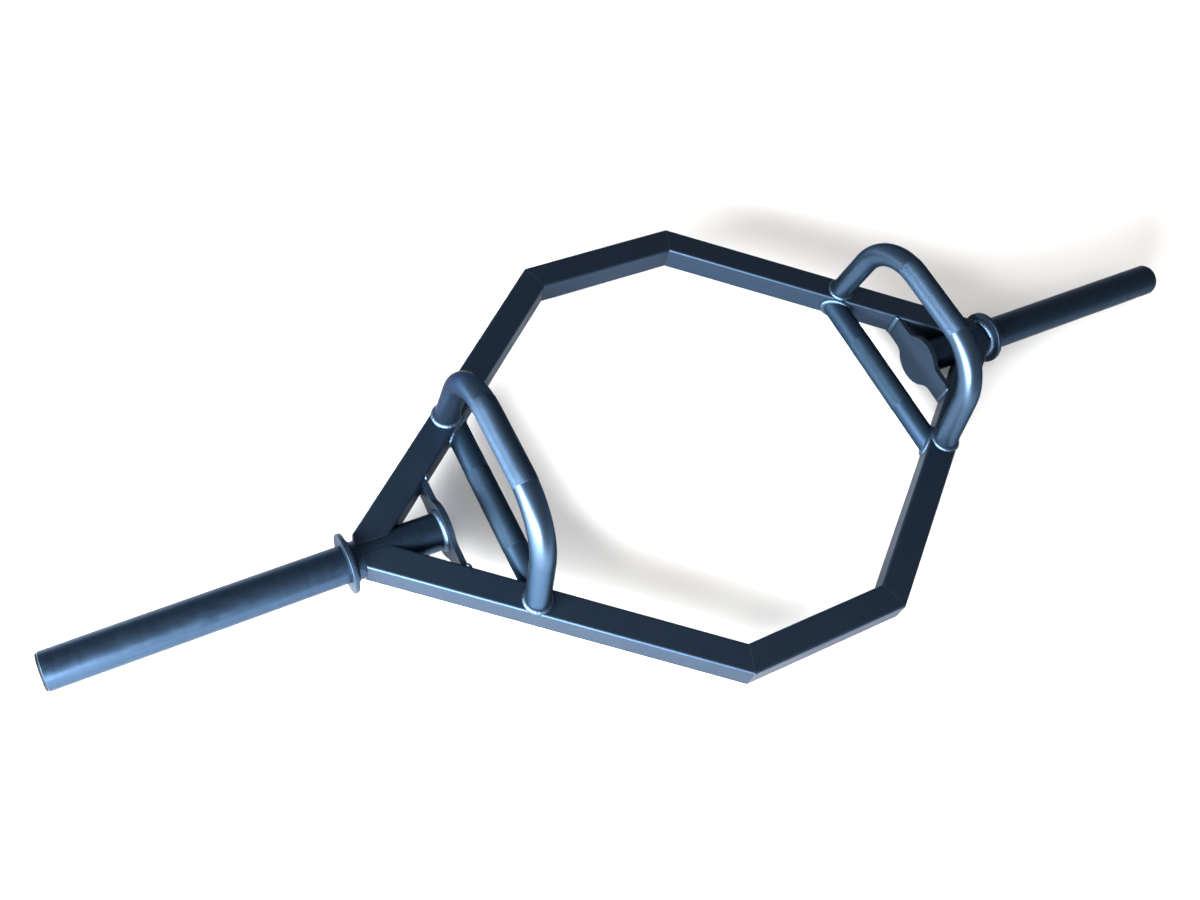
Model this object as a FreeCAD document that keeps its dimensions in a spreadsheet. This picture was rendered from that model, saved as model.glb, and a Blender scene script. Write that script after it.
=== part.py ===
import FreeCAD, Part
import math
import os

import Sketcher
from FreeCAD import Vector

# Hex trap bar, in millimetres: X along the sleeves, Y from front to back, Z up.
# The origin is midway between the sleeves, level with the lowest point of the collars.
# Every piece is drawn about the sleeve axis on the right-hand side, and the left-hand
# one is the same piece turned half round.

driving_sizes = {
    # loading sleeves
    "overall_length": 1800,     # end cap to end cap
    "pipe_dia": 50.8,           # inside the frame and through the collar
    "pipe_wall": 4,
    "sleeve_turned": 0.4,       # turned off the pipe all round, from the collar outwards
    "sleeve_chamfer": 1,        # at the outer end
    "collar_rise": 14.6,        # of the rim above the pipe
    "collar_thick": 6,
    "collar_edge": 1,           # rounding of the rim
    "collar_gap": 14,           # from the cut ends of the long tubes
    "slip_clearance": 0.2,      # round the pipe, in collars and copes
    "cap_dia": 47,
    "cap_thick": 3,
    "cap_edge": 1.5,            # rounding of the cap's face
    "plug_length": 20,
    "plug_clearance": 0.1,

    # frame of square tube
    "frame_depth": 688,         # front face to back face
    "front_inside": 216.6,      # along the inner face of the front tube
    "tube_size": 40,
    "tube_wall": 3,
    "tube_corner": 4,
    "nose_width": 52,           # across the square-cut ends of two long tubes
    "crest_gap": 16,            # left between those ends over the pipe

    # gusset plates
    "gusset_setback": 86.5,     # from the point where the inner faces of the long tubes would meet
    "gusset_thick": 8,
    "gusset_disc_dia": 78,
    "arm_height": 38,
    "arm_rise": 3,              # of the arms' middle above the sleeve axis
    "arm_fillet": 20,           # between the arms and the round middle

    # handles of round tube
    "handle_dia": 33.7,
    "handle_wall": 3.2,
    "lower_span": 646,          # between the axes of the lower handles
    "lower_rise": 3,            # above the sleeve axis
    "finger_room": 73,          # from a lower handle's axis to the gusset plate
    "raised_outset": 11.5,      # of the raised handles, from the lower ones outwards
    "raised_rise": 155.5,       # grip axis above the frame's top
    "raised_straight": 90,      # straight stretch of the grip
    "raised_bend": 88,          # bend radius at the tube's axis

    # weld beads
    "bead_leg": 5.2,            # along each of the two faces that a bead joins
    "bead_round": 2.2,          # of the free rim
}

# Places along the sleeve axis, and the points of it where lines of the long tubes would meet
lower_x = "(dims.lower_span / 2)"
raised_x = f"({lower_x} + dims.raised_outset)"
gusset_x = f"({lower_x} + dims.finger_room)"
inner_apex = f"({gusset_x} + dims.gusset_setback)"
inside_depth = "(dims.frame_depth / 2 - dims.tube_size)"
flank = f"atan({inside_depth} / ({inner_apex} - dims.front_inside / 2))"
middle_apex = f"({inner_apex} + dims.tube_size / 2 / sin({flank}))"
outer_apex = f"({inner_apex} + dims.tube_size / sin({flank}))"
nose_x = f"({outer_apex} - dims.nose_width / 2 / tan({flank}))"
collar_x = f"({nose_x} + dims.collar_gap)"
sleeve_x = f"({collar_x} + dims.collar_thick)"
pipe_start = f"({gusset_x} + dims.gusset_thick)"
pipe_end = "(dims.overall_length / 2 - dims.cap_thick)"

# Corners of the frame in plan, from the middle
inner_corner_x = "(dims.front_inside / 2)"
outer_corner_x = f"({inner_corner_x} + dims.tube_size * tan({flank} / 2))"

# Heights, from the sleeve axis: the frame's top is level with the crest of the pipe
pipe_r = "(dims.pipe_dia / 2)"
collar_r = f"({pipe_r} + dims.collar_rise)"
axis_height = collar_r
tube_top = pipe_r
tube_bottom = f"({tube_top} - dims.tube_size)"
tube_middle = f"({tube_top} - dims.tube_size / 2)"

# The raised handle's leg: its axis meets the long tube in the middle of the top face
handle_r = "(dims.handle_dia / 2)"
foot_y = f"(({middle_apex} - {raised_x}) * tan({flank}))"
bend_y = "(dims.raised_straight / 2)"
grip_z = f"({tube_top} + dims.raised_rise)"
leg_reach = f"({foot_y} - {bend_y})"
leg_drop = "(dims.raised_rise - dims.raised_bend)"
leg_lean = (f"(acos(dims.raised_bend / sqrt({leg_reach} ^ 2 + {leg_drop} ^ 2))"
            f" - atan({leg_drop} / {leg_reach}))")
foot_spare = "(dims.handle_dia / 2)"    # the leg is drawn this much too low, then cut off level
leg_end_y = f"({foot_y} + {foot_spare} * tan({leg_lean}))"
leg_end_z = f"({tube_top} - {foot_spare})"

doc = FreeCAD.newDocument("hex_trap_bar")
dims = doc.addObject("Spreadsheet::Sheet", "dims")
for row, (alias, size) in enumerate(driving_sizes.items(), start=1):
    dims.set(f"A{row}", str(size))
    dims.setAlias(f"A{row}", alias)
doc.recompute()

pieces = []


def value(expression):
    return FreeCAD.Units.Quantity(dims.evalExpression(expression)).Value


def flank_y(apex, x):
    return f"(({apex} - {x}) * tan({flank}))"


def keep(piece, solid_count=1):
    pieces.append((piece, solid_count))
    return piece


def place(piece, turn, x="0", y="0", z="0", yaw="0 deg", pitch="0 deg", roll="0 deg"):
    # x, y, z and the angles are those of the right-hand piece, from the sleeve axis
    sign = "-" if turn else ""
    at = f"vector({sign}({x}); {sign}({y}); {axis_height} + ({z}))"
    piece.setExpression("Placement", f"placement({at}; rotation({yaw} + {turn} deg; {pitch}; {roll}))")
    return piece


# Sketches and features

def origin_plane(body, role):
    return next(feature for feature in body.Origin.OriginFeatures if feature.Role == role)


def new_sketch(body, name, role, offset=None):
    sketch = body.newObject("Sketcher::SketchObject", f"{body.Name}_{name}")
    sketch.AttachmentSupport = [(origin_plane(body, role), "")]
    sketch.MapMode = "FlatFace"
    if offset:
        sketch.setExpression("AttachmentOffset.Base.z", offset)
    return sketch


def bind(sketch, constraint, expression):
    index = sketch.addConstraint(constraint)
    sketch.setExpression(f"Constraints[{index}]", expression)


def locate(sketch, geometry, point, x, y):
    now = sketch.getPoint(geometry, point)
    bind(sketch, Sketcher.Constraint("DistanceX", -1, 1, geometry, point, now.x), x)
    bind(sketch, Sketcher.Constraint("DistanceY", -1, 1, geometry, point, now.y), y)


def add_polygon(sketch, corners):
    first = sketch.GeometryCount
    points = [Vector(value(x), value(y), 0) for x, y in corners]
    for start, end in zip(points, points[1:] + points[:1]):
        sketch.addGeometry(Part.LineSegment(start, end))
    for index in range(len(corners)):
        following = first + (index + 1) % len(corners)
        sketch.addConstraint(Sketcher.Constraint("Coincident", first + index, 2, following, 1))
    for index, (x, y) in enumerate(corners):
        locate(sketch, first + index, 1, x, y)


def add_circle(sketch, radius, centre=None):
    x, y = centre or ("0", "0")
    circle = Part.Circle(Vector(value(x), value(y), 0), Vector(0, 0, 1), value(radius))
    geometry = sketch.addGeometry(circle)
    if centre:
        locate(sketch, geometry, 3, x, y)
    else:
        sketch.addConstraint(Sketcher.Constraint("Coincident", geometry, 3, -1, 1))
    bind(sketch, Sketcher.Constraint("Radius", geometry, circle.Radius), radius)


def new_body(name):
    return doc.addObject("PartDesign::Body", name)


def pad(body, sketch, length, side="One side"):
    feature = body.newObject("PartDesign::Pad", f"{sketch.Name}_pad")
    feature.Profile = sketch
    feature.SideType = side
    feature.setExpression("Length", length)
    doc.recompute()
    return feature


def cut(body, sketch, length, side="Symmetric"):
    before = body.Shape.Volume
    feature = body.newObject("PartDesign::Pocket", f"{sketch.Name}_cut")
    feature.Profile = sketch
    feature.SideType = side
    feature.setExpression("Length", length)
    doc.recompute()
    if body.Shape.Volume > before * (1 - 1e-6):
        raise RuntimeError(f"{feature.Name} cuts nothing")
    return feature


def dress(body, kind, base, edges, size_name, size):
    names = [f"Edge{index}" for index, edge in enumerate(base.Shape.Edges, start=1) if edges(edge)]
    feature = body.newObject(f"PartDesign::{kind}", f"{base.Name}_{kind.lower()}")
    feature.Base = (base, names)
    feature.setExpression(size_name, size)
    doc.recompute()
    return feature


def ring_edge(radius, x):
    return lambda edge: (hasattr(edge.Curve, "Radius")
                         and abs(edge.Curve.Radius - radius) < 1e-4
                         and abs(edge.CenterOfMass.x - x) < 1e-4)


def trim_to_long_tubes(body, start, end, height):
    # cut both ends of a cross piece along the inner faces of the long tubes
    plan = new_sketch(body, "ends", "XY_Plane")
    for side in ("", "-"):
        near = f"{side}{flank_y(inner_apex, start)}"
        far = f"{side}{flank_y(inner_apex, end)}"
        clear = f"{side}({flank_y(inner_apex, start)} + dims.tube_size)"
        add_polygon(plan, [(start, near), (end, far), (end, clear), (start, clear)])
    cut(body, plan, height)


# Frame tubes

def box_tube(name, outline, bore, turn):
    body = new_body(name)
    plan = new_sketch(body, "plan", "XY_Plane", tube_bottom)
    add_polygon(plan, outline)
    blank = pad(body, plan, "dims.tube_size")
    shortest_long_edge = sorted(edge.Length for edge in blank.Shape.Edges)[-4] - 1e-3
    dress(body, "Fillet", blank, lambda edge: edge.Length > shortest_long_edge,
          "Radius", "dims.tube_corner")
    hollow = new_sketch(body, "bore", "XY_Plane", tube_middle)
    add_polygon(hollow, bore)
    cut(body, hollow, "dims.tube_size - 2 * dims.tube_wall")
    place(body, turn)
    return keep(body)


def short_tube(name, turn):
    outer_y = "-dims.frame_depth / 2"
    inner_y = f"-{inside_depth}"
    outline = [(f"-{outer_corner_x}", outer_y), (outer_corner_x, outer_y),
               (inner_corner_x, inner_y), (f"-{inner_corner_x}", inner_y)]
    bore_outer = "-(dims.frame_depth / 2 - dims.tube_wall)"
    bore_inner = f"-({inside_depth} + dims.tube_wall)"
    past_end = "dims.front_inside"
    bore = [(f"-{past_end}", bore_outer), (past_end, bore_outer),
            (past_end, bore_inner), (f"-{past_end}", bore_inner)]
    return box_tube(name, outline, bore, turn)


def long_tube(name, side, turn):
    # side is "-" for the front of the right-hand half and empty for its back
    crest_y = "dims.crest_gap / 2"
    crest_x = f"({inner_apex} - {crest_y} / tan({flank}))"
    outline = [
        (outer_corner_x, f"{side}dims.frame_depth / 2"),
        (nose_x, f"{side}dims.nose_width / 2"),
        (nose_x, f"{side}{crest_y}"),
        (crest_x, f"{side}{crest_y}"),
        (inner_corner_x, f"{side}{inside_depth}"),
    ]
    before = f"({inner_corner_x} - dims.tube_size)"
    after = f"({nose_x} + dims.tube_size)"
    outer_wall = f"({outer_apex} - dims.tube_wall / sin({flank}))"
    inner_wall = f"({inner_apex} + dims.tube_wall / sin({flank}))"
    bore = [
        (before, side + flank_y(outer_wall, before)),
        (after, side + flank_y(outer_wall, after)),
        (after, side + flank_y(inner_wall, after)),
        (before, side + flank_y(inner_wall, before)),
    ]
    body = box_tube(name, outline, bore, turn)
    cope = new_sketch(body, "cope", "YZ_Plane")
    add_circle(cope, f"{pipe_r} + dims.slip_clearance")
    cut(body, cope, "dims.overall_length")
    return body


# Sleeves

def add_ring(body, name, x, thick, outer_radius, inner_radius):
    section = new_sketch(body, name, "YZ_Plane", x)
    add_circle(section, outer_radius)
    add_circle(section, inner_radius)
    return pad(body, section, thick)


def sleeve_pipe(name, turn):
    body = new_body(name)
    bore_r = f"{pipe_r} - dims.pipe_wall"
    sleeve_r = f"{pipe_r} - dims.sleeve_turned"
    add_ring(body, "inner", pipe_start, f"{sleeve_x} - {pipe_start}", pipe_r, bore_r)
    blank = add_ring(body, "sleeve", sleeve_x, f"{pipe_end} - {sleeve_x}", sleeve_r, bore_r)
    outer_rim = ring_edge(value(sleeve_r), value(pipe_end))
    dress(body, "Chamfer", blank, outer_rim, "Size", "dims.sleeve_chamfer")
    place(body, turn)
    return keep(body)


def collar(name, turn):
    body = new_body(name)
    blank = add_ring(body, "flange", collar_x, "dims.collar_thick",
                     collar_r, f"{pipe_r} + dims.slip_clearance")
    rim = value(collar_r)
    dress(body, "Fillet", blank,
          lambda edge: hasattr(edge.Curve, "Radius") and abs(edge.Curve.Radius - rim) < 1e-4,
          "Radius", "dims.collar_edge")
    place(body, turn)
    return keep(body)


def end_cap(name, turn):
    body = new_body(name)
    face = new_sketch(body, "face", "YZ_Plane", pipe_end)
    add_circle(face, "dims.cap_dia / 2")
    blank = pad(body, face, "dims.cap_thick")
    outside = dims.overall_length / 2
    dress(body, "Fillet", blank, ring_edge(dims.cap_dia / 2, outside), "Radius", "dims.cap_edge")
    plug = new_sketch(body, "plug", "YZ_Plane", f"{pipe_end} - dims.plug_length")
    add_circle(plug, f"{pipe_r} - dims.pipe_wall - dims.plug_clearance")
    pad(body, plug, "dims.plug_length")
    place(body, turn)
    return keep(body)


def gusset_plate(name, turn):
    body = new_body(name)
    middle = new_sketch(body, "middle", "YZ_Plane", gusset_x)
    add_circle(middle, "dims.gusset_disc_dia / 2")
    pad(body, middle, "dims.gusset_thick")
    arms = new_sketch(body, "arms", "YZ_Plane", gusset_x)
    reach = f"({flank_y(inner_apex, gusset_x)} + dims.tube_wall)"
    top = "(dims.arm_rise + dims.arm_height / 2)"
    bottom = "(dims.arm_rise - dims.arm_height / 2)"
    add_polygon(arms, [(reach, top), (f"-{reach}", top), (f"-{reach}", bottom), (reach, bottom)])
    crossed = pad(body, arms, "dims.gusset_thick")
    disc_radius = dims.gusset_disc_dia / 2

    def in_the_neck(edge):
        middle_point = edge.CenterOfMass
        off_axis = math.hypot(middle_point.y, middle_point.z)
        straight = abs(edge.Length - dims.gusset_thick) < 1e-4
        return straight and abs(off_axis - disc_radius) < 1e-3 and abs(middle_point.y) > 1e-3

    dress(body, "Fillet", crossed, in_the_neck, "Radius", "dims.arm_fillet")
    trim_to_long_tubes(body, f"({gusset_x} - dims.gusset_thick)",
                       f"({gusset_x} + 2 * dims.gusset_thick)", "2 * dims.gusset_disc_dia")
    place(body, turn)
    return keep(body)


# Handles

lower_inside = f"({lower_x} - dims.handle_dia)"
lower_outside = f"({lower_x} + dims.handle_dia)"
cut_height = "4 * dims.handle_dia"


def cross_ring(name, outer_radius, inner_radius):
    # a ring round the lower handle's axis, from the one long tube to the other
    body = new_body(name)
    section = new_sketch(body, "section", "XZ_Plane")
    for radius in (outer_radius, inner_radius):
        add_circle(section, radius, (lower_x, "dims.lower_rise"))
    pad(body, section, f"2 * {flank_y(inner_apex, lower_inside)}", "Symmetric")
    trim_to_long_tubes(body, lower_inside, lower_outside, cut_height)
    return body


def lower_handle(name, turn):
    body = cross_ring(name, handle_r, f"{handle_r} - dims.handle_wall")
    place(body, turn)
    return keep(body)


def raised_handle(name, turn):
    body = new_body(name)
    path = new_sketch(body, "path", "YZ_Plane", raised_x)
    top = value(grip_z)
    straight = dims.raised_straight / 2
    bend = dims.raised_bend
    bend_end = Vector(straight + bend, top - bend, 0)
    grip_end = Vector(straight, top, 0)
    bend_middle = Vector(straight + bend * math.sqrt(0.5), top - bend * (1 - math.sqrt(0.5)), 0)
    grip = path.addGeometry(Part.LineSegment(Vector(0, top, 0), grip_end))
    arc = path.addGeometry(Part.Arc(grip_end, bend_middle, bend_end))
    leg = path.addGeometry(Part.LineSegment(bend_end, Vector(bend_end.x, 0, 0)))
    arc_ends = (1, 2)
    if path.getPoint(arc, 1).distanceToPoint(grip_end) > 1e-6:
        arc_ends = (2, 1)
    path.addConstraint(Sketcher.Constraint("PointOnObject", grip, 1, -2))
    path.addConstraint(Sketcher.Constraint("Horizontal", grip))
    locate(path, grip, 2, bend_y, grip_z)
    path.addConstraint(Sketcher.Constraint("Tangent", grip, 2, arc, arc_ends[0]))
    path.addConstraint(Sketcher.Constraint("Tangent", arc, arc_ends[1], leg, 1))
    bind(path, Sketcher.Constraint("Radius", arc, bend), "dims.raised_bend")
    locate(path, leg, 2, leg_end_y, leg_end_z)
    section = new_sketch(body, "section", "XZ_Plane")
    add_circle(section, handle_r, (raised_x, grip_z))
    add_circle(section, f"{handle_r} - dims.handle_wall", (raised_x, grip_z))
    doc.recompute()
    half = body.newObject("PartDesign::AdditivePipe", f"{name}_half")
    half.Profile = section
    half.Spine = (path, [])
    doc.recompute()
    whole = body.newObject("PartDesign::Mirrored", f"{name}_whole")
    whole.Originals = [half]
    whole.MirrorPlane = (origin_plane(body, "XZ_Plane"), [""])
    body.Tip = whole
    doc.recompute()
    feet = new_sketch(body, "feet", "XY_Plane", tube_top)
    inside = f"({raised_x} - dims.handle_dia)"
    outside = f"({raised_x} + dims.handle_dia)"
    past_feet = f"({foot_y} + 2 * dims.handle_dia)"
    add_polygon(feet, [(inside, f"-{past_feet}"), (outside, f"-{past_feet}"),
                       (outside, past_feet), (inside, past_feet)])
    cut(body, feet, "dims.handle_dia", "One side")
    place(body, turn)
    return keep(body)


# Weld beads: a ring or a bar of one leg on both of the faces that it joins

def add_pipe_bead(body, start, free_end):
    # round the pipe, rounded at the rim that touches nothing
    outer_r = f"({pipe_r} + dims.bead_leg)"
    blank = add_ring(body, "bead", start, "dims.bead_leg", outer_r, pipe_r)
    free_rim = ring_edge(value(outer_r), value(free_end))
    dress(body, "Fillet", blank, free_rim, "Radius", "dims.bead_round")


def collar_weld(name, turn):
    body = new_body(name)
    start = f"({collar_x} - dims.bead_leg)"
    add_pipe_bead(body, start, start)
    place(body, turn)
    return keep(body)


def gusset_welds(name, turn):
    # round the pipe on the outer face, and upright in the corners between the arms and the long tubes
    body = new_body(name)
    add_pipe_bead(body, pipe_start, f"({pipe_start} + dims.bead_leg)")
    arms = new_sketch(body, "arms", "XY_Plane", f"{tube_bottom} + dims.tube_corner")
    corner_y = flank_y(inner_apex, gusset_x)
    along_x = f"({gusset_x} - dims.bead_leg * cos({flank}))"
    for side in ("", "-"):
        add_polygon(arms, [(gusset_x, f"{side}{corner_y}"),
                           (gusset_x, f"{side}({corner_y} - dims.bead_leg)"),
                           (along_x, f"{side}{flank_y(inner_apex, along_x)}")])
    pad(body, arms, "dims.tube_size - 2 * dims.tube_corner")
    place(body, turn)
    return keep(body, 3)


def foot_bead(name, turn, side):
    # a low cone that leans with the leg, cut out for it and trimmed to the tube's width
    slant, lean = (flank, f"(-{leg_lean})") if side else (f"(-{flank})", leg_lean)
    rings = []
    for height, spread in (("0", "dims.bead_leg"), ("dims.bead_leg", "dims.bead_round")):
        ring = doc.addObject("Part::Circle", f"{name}_ring_{len(rings) + 1}")
        ring.setExpression("Radius", f"{handle_r} / cos({leg_lean}) + {spread}")
        ring_y = f"({foot_y} - {height} * tan({leg_lean}))"
        place(ring, turn, raised_x, f"{side}{ring_y}", f"{tube_top} + {height}")
        rings.append(ring)
    cone = doc.addObject("Part::Loft", f"{name}_cone")
    cone.Sections = rings
    cone.Ruled = True
    cone.Solid = True
    leg = doc.addObject("Part::Cylinder", f"{name}_leg")
    leg.setExpression("Radius", handle_r)
    leg.setExpression("Height", f"2 * ({foot_spare} + dims.bead_leg)")
    place(leg, turn, raised_x, f"{side}{leg_end_y}", leg_end_z, roll=lean)
    land = doc.addObject("Part::Box", f"{name}_land")
    length = "(2 * dims.handle_dia)"
    land.setExpression("Length", length)
    land.setExpression("Width", "dims.tube_size")
    land.setExpression("Height", "dims.bead_leg")
    corner_x = f"{raised_x} - {length} / 2 * cos({slant}) + dims.tube_size / 2 * sin({slant})"
    corner_y = f"{side}{foot_y} - {length} / 2 * sin({slant}) - dims.tube_size / 2 * cos({slant})"
    place(land, turn, corner_x, corner_y, tube_top, yaw=slant)
    hollow = doc.addObject("Part::Cut", f"{name}_hollow")
    hollow.Base = cone
    hollow.Tool = leg
    bead = doc.addObject("Part::Common", name)
    bead.Base = hollow
    bead.Tool = land
    return bead


def raised_handle_welds(name, turn):
    group = doc.addObject("Part::Compound", name)
    group.Links = [foot_bead(f"{name}_{end}", turn, side) for end, side in (("front", "-"), ("back", ""))]
    doc.recompute()
    return keep(group, 2)


def lower_handle_welds(name, turn):
    # the handle meets the tubes at a slant, so a ring along it is cut to one leg of bead at each end
    outer_r = f"({handle_r} + dims.bead_leg)"
    body = cross_ring(name, outer_r, handle_r)
    between = new_sketch(body, "between", "XY_Plane")
    toe_apex = f"({inner_apex} - dims.bead_leg / sin({flank}))"
    near = flank_y(toe_apex, lower_inside)
    far = flank_y(toe_apex, lower_outside)
    add_polygon(between, [(lower_inside, f"-{near}"), (lower_outside, f"-{far}"),
                          (lower_outside, far), (lower_inside, near)])
    rings = cut(body, between, cut_height)
    seam_y = value(flank_y(inner_apex, lower_x))
    rim_r = value(outer_r)

    def on_the_free_rim(edge):
        curve = edge.Curve
        oval = isinstance(curve, Part.Ellipse) and abs(curve.MinorRadius - rim_r) < 1e-4
        return oval and abs(curve.Center.y) < seam_y - 1e-3

    dress(body, "Fillet", rings, on_the_free_rim, "Radius", "dims.bead_round")
    place(body, turn)
    return keep(body, 2)


# The bar: two short tubes, then the same pieces on the right and, turned half round, on the left

short_tube("front_tube", 0)
short_tube("back_tube", 180)
for half, turn in (("right", 0), ("left", 180)):
    minus_y, plus_y = ("front", "back") if turn == 0 else ("back", "front")
    long_tube(f"{minus_y}_{half}_tube", "-", turn)
    long_tube(f"{plus_y}_{half}_tube", "", turn)
    sleeve_pipe(f"{half}_sleeve_pipe", turn)
    collar(f"{half}_collar", turn)
    end_cap(f"{half}_end_cap", turn)
    gusset_plate(f"{half}_gusset_plate", turn)
    lower_handle(f"{half}_lower_handle", turn)
    raised_handle(f"{half}_raised_handle", turn)
    collar_weld(f"{half}_collar_weld", turn)
    gusset_welds(f"{half}_gusset_welds", turn)
    lower_handle_welds(f"{half}_lower_handle_welds", turn)
    raised_handle_welds(f"{half}_raised_handle_welds", turn)
doc.recompute()

for item in doc.Objects:
    if "Invalid" in item.State or "Error" in item.State:
        raise RuntimeError(f"{item.Name} failed: {item.State}")
for piece, solid_count in pieces:
    shape = piece.Shape
    if shape.isNull() or not shape.isValid():
        raise RuntimeError(f"{piece.Label} has no valid shape")
    if len(shape.Solids) != solid_count:
        raise RuntimeError(f"{piece.Label} has {len(shape.Solids)} solids, not {solid_count}")

os.makedirs("parts", exist_ok=True)
for piece, solid_count in pieces:
    piece.Shape.exportStep(f"parts/{piece.Label}.step")
    print(f"{piece.Label}: {solid_count} solid(s), {piece.Shape.Volume / 1000:.1f} cm3")
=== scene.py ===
import math

import bpy
from mathutils import Matrix, Vector


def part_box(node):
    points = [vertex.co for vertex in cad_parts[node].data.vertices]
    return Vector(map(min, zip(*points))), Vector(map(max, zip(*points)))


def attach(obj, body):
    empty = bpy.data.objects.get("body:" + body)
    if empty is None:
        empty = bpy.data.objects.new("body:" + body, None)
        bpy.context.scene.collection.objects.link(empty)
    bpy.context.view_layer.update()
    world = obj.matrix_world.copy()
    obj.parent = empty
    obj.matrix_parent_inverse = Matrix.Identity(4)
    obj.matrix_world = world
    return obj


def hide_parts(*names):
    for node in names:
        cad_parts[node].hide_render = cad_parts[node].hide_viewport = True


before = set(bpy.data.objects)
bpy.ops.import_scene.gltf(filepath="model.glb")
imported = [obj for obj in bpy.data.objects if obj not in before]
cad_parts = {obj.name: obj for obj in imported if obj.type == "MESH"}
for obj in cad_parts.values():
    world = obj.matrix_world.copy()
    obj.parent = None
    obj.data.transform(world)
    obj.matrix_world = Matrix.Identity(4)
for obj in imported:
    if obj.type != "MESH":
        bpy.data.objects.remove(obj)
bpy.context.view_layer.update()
print("frame loaded:", len(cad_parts), "pieces")

mm = 0.001                          # the dictionaries give millimetres and degrees
halves = {"right": 1, "left": -1}   # the left half is the right one turned half round
ends = (-1, 1)                      # front and back


# Node helpers

# sockets that share their name with others of the same node, so that only the number tells them apart
mixShare, mixFrom, mixTo, mixResult = 0, 6, 7, 2    # of Mix, for colours
randomMin, randomMax, randomResult = 2, 3, 1        # of Random Value, for plain numbers
waveTurn = 2 * math.pi / 20                         # a Wave texture of this scale has one band per unit
noiseMiddle = (0.3, 0.7)                            # most of a noise lies between these values


def linear(hexColor):
    # sRGB hex to the linear colour that Blender wants
    channels = [int(hexColor[i:i + 2], 16) / 255 for i in (1, 3, 5)]
    return [c / 12.92 if c <= 0.04045 else ((c + 0.055) / 1.055) ** 2.4 for c in channels] + [1]


def addNode(tree, kind, settings=None, links=None):
    # settings are the node's own properties, links its inputs: a socket or a plain value
    node = tree.nodes.new(kind)
    for name, value in (settings or {}).items():
        setattr(node, name, value)
    for name, value in (links or {}).items():
        if isinstance(value, bpy.types.NodeSocket):
            tree.links.new(value, node.inputs[name])
        else:
            node.inputs[name].default_value = value
    return node


def newMaterial(name, shaderValues):
    # uniform values go straight onto the shader's sockets
    material = bpy.data.materials.new(name)
    material.use_nodes = True
    tree = material.node_tree
    tree.nodes.clear()
    shader = addNode(tree, "ShaderNodeBsdfPrincipled", links=shaderValues)
    addNode(tree, "ShaderNodeOutputMaterial", links={"Surface": shader.outputs["BSDF"]})
    place = addNode(tree, "ShaderNodeTexCoord").outputs["Object"]
    return material, tree, shader, place


def perMetre(size):
    # texture scale for a pattern whose features are this many millimetres across
    return 1 / (size * mm)


def newTree(name, inputs):
    tree = bpy.data.node_groups.new(name, "GeometryNodeTree")
    tree.interface.new_socket("Geometry", in_out="INPUT", socket_type="NodeSocketGeometry")
    for label, kind in inputs:
        tree.interface.new_socket(label, in_out="INPUT", socket_type=kind)
    tree.interface.new_socket("Geometry", in_out="OUTPUT", socket_type="NodeSocketGeometry")
    return tree, addNode(tree, "NodeGroupInput").outputs


def meshFromNodes(name, points, edges, tree, values, outwards=()):
    # runs the tree on a wire of points, with the way that each faces out of its corner,
    # and keeps the result as a plain mesh
    wire = bpy.data.meshes.new(name)
    wire.from_pydata(points, edges, [])
    if outwards:
        facing = wire.attributes.new("outward", "FLOAT_VECTOR", "POINT")
        facing.data.foreach_set("vector", [part for outward in outwards for part in outward])
    piece = bpy.data.objects.new(name, wire)
    bpy.context.collection.objects.link(piece)
    modifier = piece.modifiers.new(tree.name, "NODES")
    modifier.node_group = tree
    for item in tree.interface.items_tree:
        if item.in_out == "INPUT" and item.name in values:
            modifier[item.identifier] = values[item.name]
    depsgraph = bpy.context.evaluated_depsgraph_get()
    made = bpy.data.meshes.new_from_object(piece.evaluated_get(depsgraph), depsgraph=depsgraph)
    piece.modifiers.remove(modifier)
    piece.data = made
    bpy.data.meshes.remove(wire)
    made.name = name
    return piece


# Finishes

frameCoat = {
    "color": "#2E3E51", "cloud": "#29384A", "cloudSize": 70, "cloudDetail": 3,
    "flakeSize": 1.1, "flakeShare": 0.10,
    "peelSize": 2.6, "peelDepth": 0.02, "peelDetail": 1, "peelStrength": 0.6,
    # edge colour: partly a thinner worn coat, partly a painted highlight along the rounded edges
    "edgeWearAndHighlightColor": "#7C8C9A", "edgeWidth": 0.9, "edgeShare": 0.4, "edgeSamples": 6,
    "flatCosine": 0.98, "edgeCosine": 0.80,      # of the turn from the face to the rounded edge
    "roughness": 0.45, "sheenSpread": 0.03, "metallic": 0.95,
    "grazing": "#D6D6D6",                        # tint of what is mirrored at a grazing look
}


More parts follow.
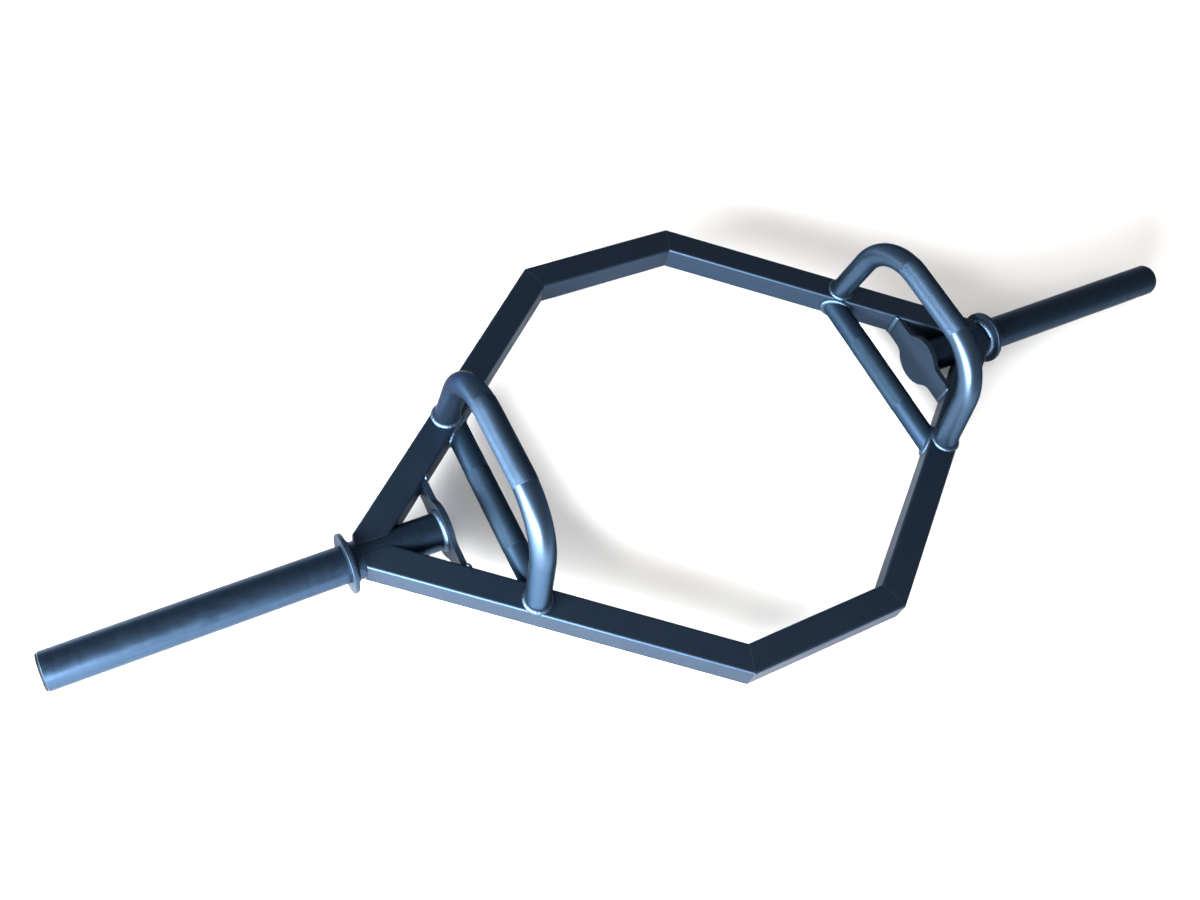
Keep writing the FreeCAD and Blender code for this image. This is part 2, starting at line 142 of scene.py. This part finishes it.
def gunmetalLacquer(name, coat):
    # Sprayed metallic lacquer on steel tube: dark where it mirrors dark, pale where it mirrors light,
    # with a faint sparkle, a slight orange peel and a lighter colour painted along the edges,
    # partly a thinner worn coat and partly a painted highlight for the light that rounded edges catch.
    # The pigment dulls it at a grazing look, so round tubes have dark outlines.
    material, tree, shader, place = newMaterial(name, {
        "Metallic": coat["metallic"], "Specular Tint": linear(coat["grazing"])})
    cloud = addNode(tree, "ShaderNodeTexNoise", links={
        "Vector": place, "Scale": perMetre(coat["cloudSize"]), "Detail": coat["cloudDetail"]})
    tone = addNode(tree, "ShaderNodeMix", {"data_type": "RGBA"}, {
        mixShare: cloud.outputs["Fac"], mixFrom: linear(coat["color"]), mixTo: linear(coat["cloud"])})
    # flakes are really some hundredths of a millimetre, drawn coarser so that they show
    flake = addNode(tree, "ShaderNodeTexVoronoi", links={
        "Vector": place, "Scale": perMetre(coat["flakeSize"])})
    sparkle = addNode(tree, "ShaderNodeMix", {"data_type": "RGBA", "blend_type": "OVERLAY"}, {
        mixShare: coat["flakeShare"], mixFrom: tone.outputs[mixResult], mixTo: flake.outputs["Color"]})
    # lighter edges: partly a thinner worn coat, partly a painted highlight along the rounded edges
    rounded = addNode(tree, "ShaderNodeBevel", {"samples": coat["edgeSamples"]}, {
        "Radius": coat["edgeWidth"] * mm})
    facing = addNode(tree, "ShaderNodeNewGeometry")
    turned = addNode(tree, "ShaderNodeVectorMath", {"operation": "DOT_PRODUCT"}, {
        0: rounded.outputs["Normal"], 1: facing.outputs["Normal"]})
    edge = addNode(tree, "ShaderNodeMapRange", links={
        "Value": turned.outputs["Value"], "From Min": coat["flatCosine"], "From Max": coat["edgeCosine"],
        "To Max": coat["edgeShare"]})
    worn = addNode(tree, "ShaderNodeMix", {"data_type": "RGBA"}, {
        mixShare: edge.outputs["Result"], mixFrom: sparkle.outputs[mixResult],
        mixTo: linear(coat["edgeWearAndHighlightColor"])})
    tree.links.new(worn.outputs[mixResult], shader.inputs["Base Color"])
    gloss = addNode(tree, "ShaderNodeMapRange", links={
        "Value": cloud.outputs["Fac"], "From Min": noiseMiddle[0], "From Max": noiseMiddle[1],
        "To Min": coat["roughness"] - coat["sheenSpread"],
        "To Max": coat["roughness"] + coat["sheenSpread"]})
    tree.links.new(gloss.outputs["Result"], shader.inputs["Roughness"])
    peel = addNode(tree, "ShaderNodeTexNoise", links={
        "Vector": place, "Scale": perMetre(coat["peelSize"]), "Detail": coat["peelDetail"]})
    bump = addNode(tree, "ShaderNodeBump", links={
        "Height": peel.outputs["Fac"], "Strength": coat["peelStrength"],
        "Distance": coat["peelDepth"] * mm})
    tree.links.new(bump.outputs["Normal"], shader.inputs["Normal"])
    return material


# round tube has no edges to wear or to carry the painted edge highlight, and darker outlines
roundCoat = {**frameCoat, "edgeShare": 0.0, "grazing": "#808080"}
handleCoat = {
    **roundCoat, "color": "#3E5167", "cloud": "#394C61", "roughness": 0.33,
    "flakeShare": 0.04, "peelSize": 3.5, "peelDepth": 0.012,
}
# the lower grips and their knurls carry the raised ones' lacquer painted darker: painted shade for the
# light the frame round them keeps off
shadedLowerCoat = {**roundCoat, "color": "#2A3C50", "cloud": "#25384B", "roughness": 0.50}
raisedKnurlCoat = {**roundCoat, "color": "#34465A", "cloud": "#2F4054", "roughness": 0.48}
shadedLowerKnurlCoat = {**roundCoat, "color": "#273849", "cloud": "#233343", "roughness": 0.55}
weldCoat = {
    **frameCoat, "color": "#3F5267", "cloud": "#34475B", "cloudSize": 6, "roughness": 0.40,
    "flakeShare": 0.03, "peelSize": 1.2, "edgeShare": 0.0,
}

sleeveTurning = {
    "color": "#2D3E53", "band": "#233345", "bandAlong": 9, "bandRound": 500, "bandDetail": 4,
    "groovePitch": 1.8, "grooveDepth": 0.03, "grooveWander": 0.6, "grooveDetail": 1, "grooveStrength": 0.7,
    "scuffSize": 14, "scuffDetail": 5, "scuffGrit": 0.7, "scuffFrom": 0.35, "scuffTo": 0.7,
    "roughness": 0.38, "polish": 0.04, "wear": 0.06, "metallic": 0.95, "grazing": "#C8C8C8",
}


def turnedSteel(name, coat):
    # Steel pipe turned on a lathe and lacquered: fine rings round it that stretch highlights
    # along the axis, bands of slightly different sheen, and scuffs where plates have slid.
    material, tree, shader, place = newMaterial(name, {
        "Metallic": coat["metallic"], "Specular Tint": linear(coat["grazing"])})
    # real feed marks are about 0.2 mm apart, drawn coarser so that they show
    groove = addNode(tree, "ShaderNodeTexWave", {"wave_type": "BANDS", "bands_direction": "X"}, {
        "Vector": place, "Scale": waveTurn * perMetre(coat["groovePitch"]),
        "Distortion": coat["grooveWander"], "Detail": coat["grooveDetail"]})
    along = perMetre(coat["bandAlong"])
    across = perMetre(coat["bandRound"])
    stretch = addNode(tree, "ShaderNodeMapping", links={"Vector": place, "Scale": (along, across, across)})
    band = addNode(tree, "ShaderNodeTexNoise", links={
        "Vector": stretch.outputs["Vector"], "Scale": 1.0, "Detail": coat["bandDetail"]})
    tone = addNode(tree, "ShaderNodeMix", {"data_type": "RGBA"}, {
        mixShare: band.outputs["Fac"], mixFrom: linear(coat["color"]), mixTo: linear(coat["band"])})
    tree.links.new(tone.outputs[mixResult], shader.inputs["Base Color"])
    scuff = addNode(tree, "ShaderNodeTexNoise", links={
        "Vector": place, "Scale": perMetre(coat["scuffSize"]),
        "Detail": coat["scuffDetail"], "Roughness": coat["scuffGrit"]})
    gloss = addNode(tree, "ShaderNodeMapRange", links={
        "Value": scuff.outputs["Fac"], "From Min": coat["scuffFrom"], "From Max": coat["scuffTo"],
        "To Min": coat["roughness"] - coat["polish"], "To Max": coat["roughness"] + coat["wear"]})
    tree.links.new(gloss.outputs["Result"], shader.inputs["Roughness"])
    bump = addNode(tree, "ShaderNodeBump", links={
        "Height": groove.outputs["Fac"], "Strength": coat["grooveStrength"],
        "Distance": coat["grooveDepth"] * mm})
    tree.links.new(bump.outputs["Normal"], shader.inputs["Normal"])
    return material


capPlastic = {
    "color": "#0C0D0F", "worn": "#15181B", "cloudSize": 12, "cloudDetail": 3,
    "grainSize": 1.2, "grainDepth": 0.06, "grainDetail": 2, "grainStrength": 0.7,
    "roughness": 0.75, "sheenSpread": 0.08, "refraction": 1.51, "specular": 0.15,
}


def mouldedPolyethylene(name, plastic):
    # Injection-moulded cap: nearly black, dull, with a fine spark-eroded grain.
    material, tree, shader, place = newMaterial(name, {
        "IOR": plastic["refraction"], "Specular IOR Level": plastic["specular"]})
    cloud = addNode(tree, "ShaderNodeTexNoise", links={
        "Vector": place, "Scale": perMetre(plastic["cloudSize"]), "Detail": plastic["cloudDetail"]})
    tone = addNode(tree, "ShaderNodeMix", {"data_type": "RGBA"}, {
        mixShare: cloud.outputs["Fac"], mixFrom: linear(plastic["color"]), mixTo: linear(plastic["worn"])})
    tree.links.new(tone.outputs[mixResult], shader.inputs["Base Color"])
    grain = addNode(tree, "ShaderNodeTexNoise", links={
        "Vector": place, "Scale": perMetre(plastic["grainSize"]), "Detail": plastic["grainDetail"]})
    gloss = addNode(tree, "ShaderNodeMapRange", links={
        "Value": grain.outputs["Fac"],
        "To Min": plastic["roughness"] - plastic["sheenSpread"],
        "To Max": plastic["roughness"] + plastic["sheenSpread"]})
    tree.links.new(gloss.outputs["Result"], shader.inputs["Roughness"])
    bump = addNode(tree, "ShaderNodeBump", links={
        "Height": grain.outputs["Fac"], "Strength": plastic["grainStrength"],
        "Distance": plastic["grainDepth"] * mm})
    tree.links.new(bump.outputs["Normal"], shader.inputs["Normal"])
    return material


frameFinish = gunmetalLacquer("gunmetal lacquer sprayed on steel tube", frameCoat)
handleFinish = gunmetalLacquer("gunmetal lacquer on smooth drawn tube", handleCoat)
# the lower grip and lower knurl finishes are darker copies: painted shade
shadedLowerFinish = gunmetalLacquer("lower grip lacquer, satin, darkened as painted shade", shadedLowerCoat)
raisedKnurlFinish = gunmetalLacquer("gunmetal lacquer on rolled knurl", raisedKnurlCoat)
shadedLowerKnurlFinish = gunmetalLacquer("lower knurl lacquer, darkened as painted shade", shadedLowerKnurlCoat)
weldFinish = gunmetalLacquer("gunmetal lacquer on weld beads", weldCoat)
sleeveFinish = turnedSteel("lathe-turned steel, lacquered", sleeveTurning)
capFinish = mouldedPolyethylene("moulded polyethylene", capPlastic)

finishByPiece = {
    "sleeve_pipe": sleeveFinish, "end_cap": capFinish,
    "lower_handle": shadedLowerFinish, "raised_handle": handleFinish,
}
for name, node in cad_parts.items():
    kind = name.split("_", 1)[1]
    node.data.materials.clear()
    node.data.materials.append(finishByPiece.get(kind, frameFinish))
print("finishes made:", len(bpy.data.materials))


# Places on the right-hand half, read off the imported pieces

lowerLow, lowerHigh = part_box("right_lower_handle")
raisedLow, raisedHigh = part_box("right_raised_handle")
plateLow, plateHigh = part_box("right_gusset_plate")
tubeLow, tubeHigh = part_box("front_tube")
pipeLow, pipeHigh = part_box("right_sleeve_pipe")
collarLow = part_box("right_collar")[0]

gripRadius = (lowerHigh.x - lowerLow.x) / 2
lowerAxis = (lowerLow + lowerHigh) / 2
raisedX = (raisedLow.x + raisedHigh.x) / 2
raisedZ = raisedHigh.z - gripRadius
pipeRadius = (pipeHigh.z - pipeLow.z) / 2
pipeZ = (pipeHigh.z + pipeLow.z) / 2
tubeSize = tubeHigh.z - tubeLow.z
flankSlope = (lowerHigh.y - plateHigh.y) / (plateLow.x - lowerLow.x)


def innerFaceY(x):
    # the inner face of the back right tube, in plan
    return plateHigh.y - (x - plateLow.x) * flankSlope


footY = innerFaceY(raisedX) + tubeSize / 2 * math.hypot(1, flankSlope)
footReach = raisedHigh.y - footY    # half the leaning leg's width where it meets the tube


def turnedTo(half, points):
    side = halves[half]
    return [(side * x, side * y, z) for x, y, z in points]


# Knurled bands on the grips

knurl = {
    "halfLength": 62, "straightHalf": 45, "bendRadius": 88,
    "pitchRound": 1.8, "pitchAlong": 2.2,    # really about 1.5, drawn coarser so that it shows
    "toothHeight": 0.22, "lift": 0.1, "sink": 0.4, "arcSteps": 6,
}


def knurlTree():
    tree, given = newTree("rolled knurl", [
        ("Rings", "NodeSocketInt"), ("Points round", "NodeSocketInt"), ("Radius", "NodeSocketFloat"),
        ("Tooth height", "NodeSocketFloat"), ("Lift", "NodeSocketFloat"), ("Sink", "NodeSocketFloat"),
        ("Finish", "NodeSocketMaterial")])
    axis = addNode(tree, "GeometryNodeMeshToCurve", links={"Mesh": given["Geometry"]})
    even = addNode(tree, "GeometryNodeResampleCurve", links={
        "Curve": axis.outputs["Curve"], "Count": given["Rings"]})
    sunk = addNode(tree, "ShaderNodeMath", {"operation": "SUBTRACT"}, {
        0: given["Radius"], 1: given["Sink"]})
    circle = addNode(tree, "GeometryNodeCurvePrimitiveCircle", links={
        "Resolution": given["Points round"], "Radius": sunk.outputs[0]})
    band = addNode(tree, "GeometryNodeCurveToMesh", links={
        "Curve": even.outputs["Curve"], "Profile Curve": circle.outputs["Curve"], "Fill Caps": True})
    # every other point of every ring stands up, so the valleys between run both ways round the grip
    index = addNode(tree, "GeometryNodeInputIndex").outputs[0]
    ring = addNode(tree, "FunctionNodeIntegerMath", {"operation": "DIVIDE_FLOOR"}, {
        0: index, 1: given["Points round"]}).outputs[0]
    spot = addNode(tree, "FunctionNodeIntegerMath", {"operation": "FLOORED_MODULO"}, {
        0: index, 1: given["Points round"]}).outputs[0]
    both = addNode(tree, "FunctionNodeIntegerMath", {"operation": "ADD"}, {0: ring, 1: spot}).outputs[0]
    tooth = addNode(tree, "FunctionNodeIntegerMath", {"operation": "FLOORED_MODULO"}, {
        0: both, 1: 2}).outputs[0]
    rise = addNode(tree, "ShaderNodeMath", {"operation": "MULTIPLY_ADD"}, {
        0: tooth, 1: given["Tooth height"], 2: given["Lift"]}).outputs[0]
    whole = addNode(tree, "ShaderNodeMath", {"operation": "ADD"}, {0: rise, 1: given["Sink"]}).outputs[0]
    # the first and last rings stay under the tube's surface and close the band
    last = addNode(tree, "FunctionNodeIntegerMath", {"operation": "SUBTRACT"}, {
        0: given["Rings"], 1: 1}).outputs[0]
    afterFirst = addNode(tree, "ShaderNodeMath", {"operation": "GREATER_THAN"}, {0: ring, 1: 0}).outputs[0]
    beforeLast = addNode(tree, "ShaderNodeMath", {"operation": "LESS_THAN"}, {0: ring, 1: last}).outputs[0]
    inner = addNode(tree, "ShaderNodeMath", {"operation": "MULTIPLY"}, {
        0: afterFirst, 1: beforeLast}).outputs[0]
    height = addNode(tree, "ShaderNodeMath", {"operation": "MULTIPLY"}, {0: whole, 1: inner}).outputs[0]
    outwards = addNode(tree, "GeometryNodeInputNormal").outputs["Normal"]
    offset = addNode(tree, "ShaderNodeVectorMath", {"operation": "SCALE"}, {
        0: outwards, "Scale": height}).outputs[0]
    raisedTeeth = addNode(tree, "GeometryNodeSetPosition", links={
        "Geometry": band.outputs["Mesh"], "Offset": offset})
    cut = addNode(tree, "GeometryNodeTriangulate", {"quad_method": "SHORTEST_DIAGONAL"}, {
        "Mesh": raisedTeeth.outputs["Geometry"]})
    crisp = addNode(tree, "GeometryNodeSetShadeSmooth", links={
        "Geometry": cut.outputs["Mesh"], "Shade Smooth": False})
    real = addNode(tree, "GeometryNodeRealizeInstances", links={"Geometry": crisp.outputs["Geometry"]})
    done = addNode(tree, "GeometryNodeSetMaterial", links={
        "Geometry": real.outputs["Geometry"], "Material": given["Finish"]})
    addNode(tree, "NodeGroupOutput", links={"Geometry": done.outputs["Geometry"]})
    return tree


def lowerGripAxis():
    reach = knurl["halfLength"] * mm
    return [(lowerAxis.x, -reach, lowerAxis.z), (lowerAxis.x, reach, lowerAxis.z)]


def raisedGripAxis():
    straight = knurl["straightHalf"] * mm
    bend = knurl["bendRadius"] * mm
    wholeTurn = (knurl["halfLength"] - knurl["straightHalf"]) / knurl["bendRadius"]
    turns = [wholeTurn * i / knurl["arcSteps"] for i in range(knurl["arcSteps"] + 1)]
    arc = [(straight + bend * math.sin(turn), raisedZ - bend * (1 - math.cos(turn))) for turn in turns]
    return [(raisedX, -y, z) for y, z in reversed(arc)] + [(raisedX, y, z) for y, z in arc]


def makeKnurls():
    tree = knurlTree()
    teethRound = round(2 * math.pi * gripRadius / (knurl["pitchRound"] * mm))
    teethAlong = round(2 * knurl["halfLength"] / knurl["pitchAlong"])
    values = {
        "Rings": 2 * teethAlong + 1,
        "Points round": 2 * teethRound,     # even, so that tooth and valley meet all the way round
        "Radius": gripRadius,
        "Tooth height": knurl["toothHeight"] * mm,
        "Lift": knurl["lift"] * mm,
        "Sink": knurl["sink"] * mm,
    }
    grips = {
        "lower": (lowerGripAxis(), shadedLowerKnurlFinish),
        "raised": (raisedGripAxis(), raisedKnurlFinish),
    }
    for half in halves:
        for grip, (axis, finish) in grips.items():
            points = turnedTo(half, axis)
            edges = [(i, i + 1) for i in range(len(points) - 1)]
            values["Finish"] = finish
            band = meshFromNodes(f"{half}_{grip}_knurl", points, edges, tree, values)
            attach(band, "root")


makeKnurls()
print("knurled bands made")


# Weld beads

bead = {
    "collarWidth": 14, "gussetWidth": 11, "lowerWidth": 10, "footWidth": 10,
    "thickShare": 0.6, "standOffShare": 0.09,    # of the width: a flat fillet with a low crown
    "ripplePitch": 2.4, "rippleLength": 7.2,     # really about 1.5 apart, drawn coarser so that it shows
    "slant": 20, "unevenness": 0.07, "seed": 7, "armInset": 4,
    "coinSegments": 12, "coinRings": 6, "seamSteps": 64,
}


def weldTree():
    tree, given = newTree("rippled weld bead", [
        ("Width", "NodeSocketFloat"), ("Thickness", "NodeSocketFloat"), ("Stand-off", "NodeSocketFloat"),
        ("Ripple pitch", "NodeSocketFloat"), ("Ripple length", "NodeSocketFloat"),
        ("Slant", "NodeSocketFloat"), ("Unevenness", "NodeSocketFloat"), ("Seed", "NodeSocketInt"),
        ("Finish", "NodeSocketMaterial")])
    seam = addNode(tree, "GeometryNodeMeshToCurve", links={"Mesh": given["Geometry"]})
    even = addNode(tree, "GeometryNodeResampleCurve", {"mode": "LENGTH"}, {
        "Curve": seam.outputs["Curve"], "Length": given["Ripple pitch"]})
    outward = addNode(tree, "GeometryNodeInputNamedAttribute", {"data_type": "FLOAT_VECTOR"}, {
        "Name": "outward"}).outputs["Attribute"]
    lift = addNode(tree, "ShaderNodeVectorMath", {"operation": "SCALE"}, {
        0: outward, "Scale": given["Stand-off"]})
    stops = addNode(tree, "GeometryNodeSetPosition", links={
        "Geometry": even.outputs["Curve"], "Offset": lift.outputs["Vector"]})
    # one ripple is a ball of diameter one pressed flat, so that a row of them overlaps like coins
    ball = addNode(tree, "GeometryNodeMeshUVSphere", links={
        "Segments": bead["coinSegments"], "Rings": bead["coinRings"], "Radius": 0.5})
    flat = addNode(tree, "ShaderNodeCombineXYZ", links={
        "X": given["Thickness"], "Y": given["Width"], "Z": given["Ripple length"]})
    coin = addNode(tree, "GeometryNodeTransform", links={
        "Geometry": ball.outputs["Mesh"], "Scale": flat.outputs["Vector"]})
    # its length lies along the seam and its crown faces out of the corner
    tangent = addNode(tree, "GeometryNodeInputTangent")
    along = addNode(tree, "FunctionNodeAlignRotationToVector", {"axis": "Z"}, {
        "Vector": tangent.outputs["Tangent"]})
    crowned = addNode(tree, "FunctionNodeAlignRotationToVector", {"axis": "X", "pivot_axis": "Z"}, {
        "Rotation": along.outputs["Rotation"], "Vector": outward})
    lean = addNode(tree, "ShaderNodeCombineXYZ", links={"X": given["Slant"]})
    leaning = addNode(tree, "FunctionNodeEulerToRotation", links={"Euler": lean.outputs["Vector"]})
    slanted = addNode(tree, "FunctionNodeRotateRotation", {"rotation_space": "LOCAL"}, {
        "Rotation": crowned.outputs["Rotation"], "Rotate By": leaning.outputs["Rotation"]})
    smallest = addNode(tree, "ShaderNodeMath", {"operation": "SUBTRACT"}, {
        0: 1.0, 1: given["Unevenness"]})
    size = addNode(tree, "FunctionNodeRandomValue", {"data_type": "FLOAT"}, {
        randomMin: smallest.outputs[0], randomMax: 1.0, "Seed": given["Seed"]})
    row = addNode(tree, "GeometryNodeInstanceOnPoints", links={
        "Points": stops.outputs["Geometry"], "Instance": coin.outputs["Geometry"],
        "Rotation": slanted.outputs["Rotation"], "Scale": size.outputs[randomResult]})
    soft = addNode(tree, "GeometryNodeSetShadeSmooth", links={
        "Geometry": row.outputs["Instances"], "Shade Smooth": True})
    real = addNode(tree, "GeometryNodeRealizeInstances", links={"Geometry": soft.outputs["Geometry"]})
    done = addNode(tree, "GeometryNodeSetMaterial", links={
        "Geometry": real.outputs["Geometry"], "Material": given["Finish"]})
    addNode(tree, "NodeGroupOutput", links={"Geometry": done.outputs["Geometry"]})
    return tree


# A seam is a list of places, each with the way out of the corner there, and whether it closes.

def roundSeam(pointAt):
    steps = bead["seamSteps"]
    return [pointAt(2 * math.pi * i / steps) for i in range(steps)], True


def tubeFacing(end):
    # the way that the inner face of the front or back right tube looks
    return Vector((-flankSlope, -end, 0)).normalized()


def pipeSeam(x, facing):
    def pointAt(a):
        spoke = Vector((0, math.cos(a), math.sin(a)))
        return Vector((x, 0, pipeZ)) + pipeRadius * spoke, spoke + Vector((facing, 0, 0))
    return roundSeam(pointAt)


def armSeam(end):
    inset = bead["armInset"] * mm
    outward = tubeFacing(end) + Vector((-1, 0, 0))
    heights = (tubeLow.z + inset, tubeHigh.z - inset)
    return [(Vector((plateLow.x, end * plateHigh.y, z)), outward) for z in heights], False


def lowerSeam(end):
    def pointAt(a):
        spoke = Vector((math.cos(a), 0, math.sin(a)))
        place = lowerAxis + gripRadius * spoke
        place.y = end * innerFaceY(place.x)
        return place, spoke + tubeFacing(end)
    return roundSeam(pointAt)


def footSeam(end):
    def pointAt(a):
        spoke = Vector((math.cos(a), end * math.sin(a), 0))
        place = Vector((raisedX + gripRadius * spoke.x, end * footY + footReach * spoke.y, tubeHigh.z))
        return place, spoke + Vector((0, 0, 1))
    return roundSeam(pointAt)


seamsByNode = {
    "collar_weld": (bead["collarWidth"], [pipeSeam(collarLow.x, -1)]),
    "gusset_welds": (bead["gussetWidth"], [pipeSeam(plateHigh.x, 1)] + [armSeam(end) for end in ends]),
    "lower_handle_welds": (bead["lowerWidth"], [lowerSeam(end) for end in ends]),
    "raised_handle_welds": (bead["footWidth"], [footSeam(end) for end in ends]),
}


def makeWelds():
    tree = weldTree()
    for half in halves:
        for order, (kind, (width, seams)) in enumerate(seamsByNode.items()):
            points, outwards, edges = [], [], []
            for stops, closed in seams:
                first = len(points)
                points += turnedTo(half, [place for place, outward in stops])
                outwards += turnedTo(half, [outward.normalized() for place, outward in stops])
                edges += [(i, i + 1) for i in range(first, len(points) - 1)]
                if closed:
                    edges.append((len(points) - 1, first))
            node = f"{half}_{kind}"
            values = {
                "Width": width * mm,
                "Thickness": width * bead["thickShare"] * mm,
                "Stand-off": width * bead["standOffShare"] * mm,
                "Ripple pitch": bead["ripplePitch"] * mm,
                "Ripple length": bead["rippleLength"] * mm,
                "Slant": math.radians(bead["slant"]),
                "Unevenness": bead["unevenness"],
                "Seed": bead["seed"] + order,
                "Finish": weldFinish,
            }
            beads = meshFromNodes(f"{node}_bead", points, edges, tree, values, outwards)
            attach(beads, "root")
            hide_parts(node)


makeWelds()
print("weld beads made")


# Floor, light and camera

floor = {"side": 40000, "color": "#F2F2F1", "shade": "#EDEDEC", "mottle": 300, "roughness": 0.9}


def makeFloor():
    # matt painted board, hardly mottled
    material, tree, shader, place = newMaterial("matt white board", {
        "Roughness": floor["roughness"]})
    mottle = addNode(tree, "ShaderNodeTexNoise", links={
        "Vector": place, "Scale": perMetre(floor["mottle"])})
    tone = addNode(tree, "ShaderNodeMix", {"data_type": "RGBA"}, {
        mixShare: mottle.outputs["Fac"], mixFrom: linear(floor["color"]), mixTo: linear(floor["shade"])})
    tree.links.new(tone.outputs[mixResult], shader.inputs["Base Color"])
    reach = floor["side"] / 2 * mm
    corners = [(-reach, -reach, 0), (reach, -reach, 0), (reach, reach, 0), (-reach, reach, 0)]
    mesh = bpy.data.meshes.new("floor")
    mesh.from_pydata(corners, [], [(0, 1, 2, 3)])
    mesh.materials.append(material)
    board = bpy.data.objects.new("floor", mesh)
    bpy.context.collection.objects.link(board)


studio = {
    # a long low window at the front left, which draws the bright lines along the tubes
    "window": {"towards": (-0.89, -0.41, 0.27), "distance": 2150, "width": 2600, "height": 640,
               "watts": 505, "mirrored": True},
    # lights the floor all round, and doesn't show in the metal
    "ceiling": {"towards": (0, 0, 1), "distance": 3600, "width": 9000, "height": 9000,
                "watts": 200, "mirrored": False},
}
studioMiddle = (0, 0, 50)
surround = {"horizon": "#FFFFFF", "zenith": "#ADA7A4", "climbFrom": 0.05, "climbTo": 0.65, "strength": 0.5}


def makeLight():
    aim = Vector(studioMiddle) * mm
    for name, box in studio.items():
        lamp = bpy.data.lights.new(name, "AREA")
        lamp.shape = "RECTANGLE"
        lamp.size = box["width"] * mm
        lamp.size_y = box["height"] * mm
        lamp.energy = box["watts"]
        towards = Vector(box["towards"]).normalized()
        softbox = bpy.data.objects.new(name, lamp)
        softbox.location = aim + towards * box["distance"] * mm
        softbox.rotation_euler = towards.to_track_quat("Z", "Y").to_euler()
        softbox.visible_camera = False
        softbox.visible_glossy = box["mirrored"]
        bpy.context.collection.objects.link(softbox)
    world = bpy.data.worlds.new("studio")
    bpy.context.scene.world = world
    world.use_nodes = True
    tree = world.node_tree
    tree.nodes.clear()
    direction = addNode(tree, "ShaderNodeTexCoord").outputs["Generated"]
    upwards = addNode(tree, "ShaderNodeSeparateXYZ", links={0: direction}).outputs["Z"]
    climb = addNode(tree, "ShaderNodeMapRange", {"interpolation_type": "SMOOTHSTEP"}, {
        "Value": upwards, "From Min": surround["climbFrom"], "From Max": surround["climbTo"],
        }).outputs["Result"]
    sky = addNode(tree, "ShaderNodeMix", {"data_type": "RGBA"}, {
        mixShare: climb, mixFrom: linear(surround["horizon"]), mixTo: linear(surround["zenith"])})
    glow = addNode(tree, "ShaderNodeBackground", links={
        "Color": sky.outputs[mixResult], "Strength": surround["strength"]})
    addNode(tree, "ShaderNodeOutputWorld", links={"Surface": glow.outputs[0]})


# the photo's camera, found by fitting the straight edges of the frame
view = {
    "azimuth": 43.94, "elevation": 57.19, "roll": -19.83,
    "aim": (-148.3, 33.7, 40.0), "distance": 1677.1, "lens": 36.09, "film": 36.0,
}


def makeCamera():
    azimuth, elevation, roll = (math.radians(view[k]) for k in ("azimuth", "elevation", "roll"))
    ahead = Vector((math.sin(azimuth) * math.cos(elevation),
                    math.cos(azimuth) * math.cos(elevation), -math.sin(elevation)))
    level = ahead.cross(Vector((0, 0, 1))).normalized()
    down = ahead.cross(level)
    right = math.cos(roll) * level + math.sin(roll) * down
    up = math.sin(roll) * level - math.cos(roll) * down
    data = bpy.data.cameras.new("camera")
    data.sensor_width = view["film"]
    data.lens = view["lens"]
    camera = bpy.data.objects.new("camera", data)
    turn = Matrix((right, up, -ahead)).transposed().to_4x4()
    stand = (Vector(view["aim"]) - ahead * view["distance"]) * mm
    camera.matrix_world = Matrix.Translation(stand) @ turn
    bpy.context.collection.objects.link(camera)
    bpy.context.scene.camera = camera


makeFloor()
makeLight()
makeCamera()
bpy.context.scene.view_settings.view_transform = "Standard"
print("floor, light and camera made")
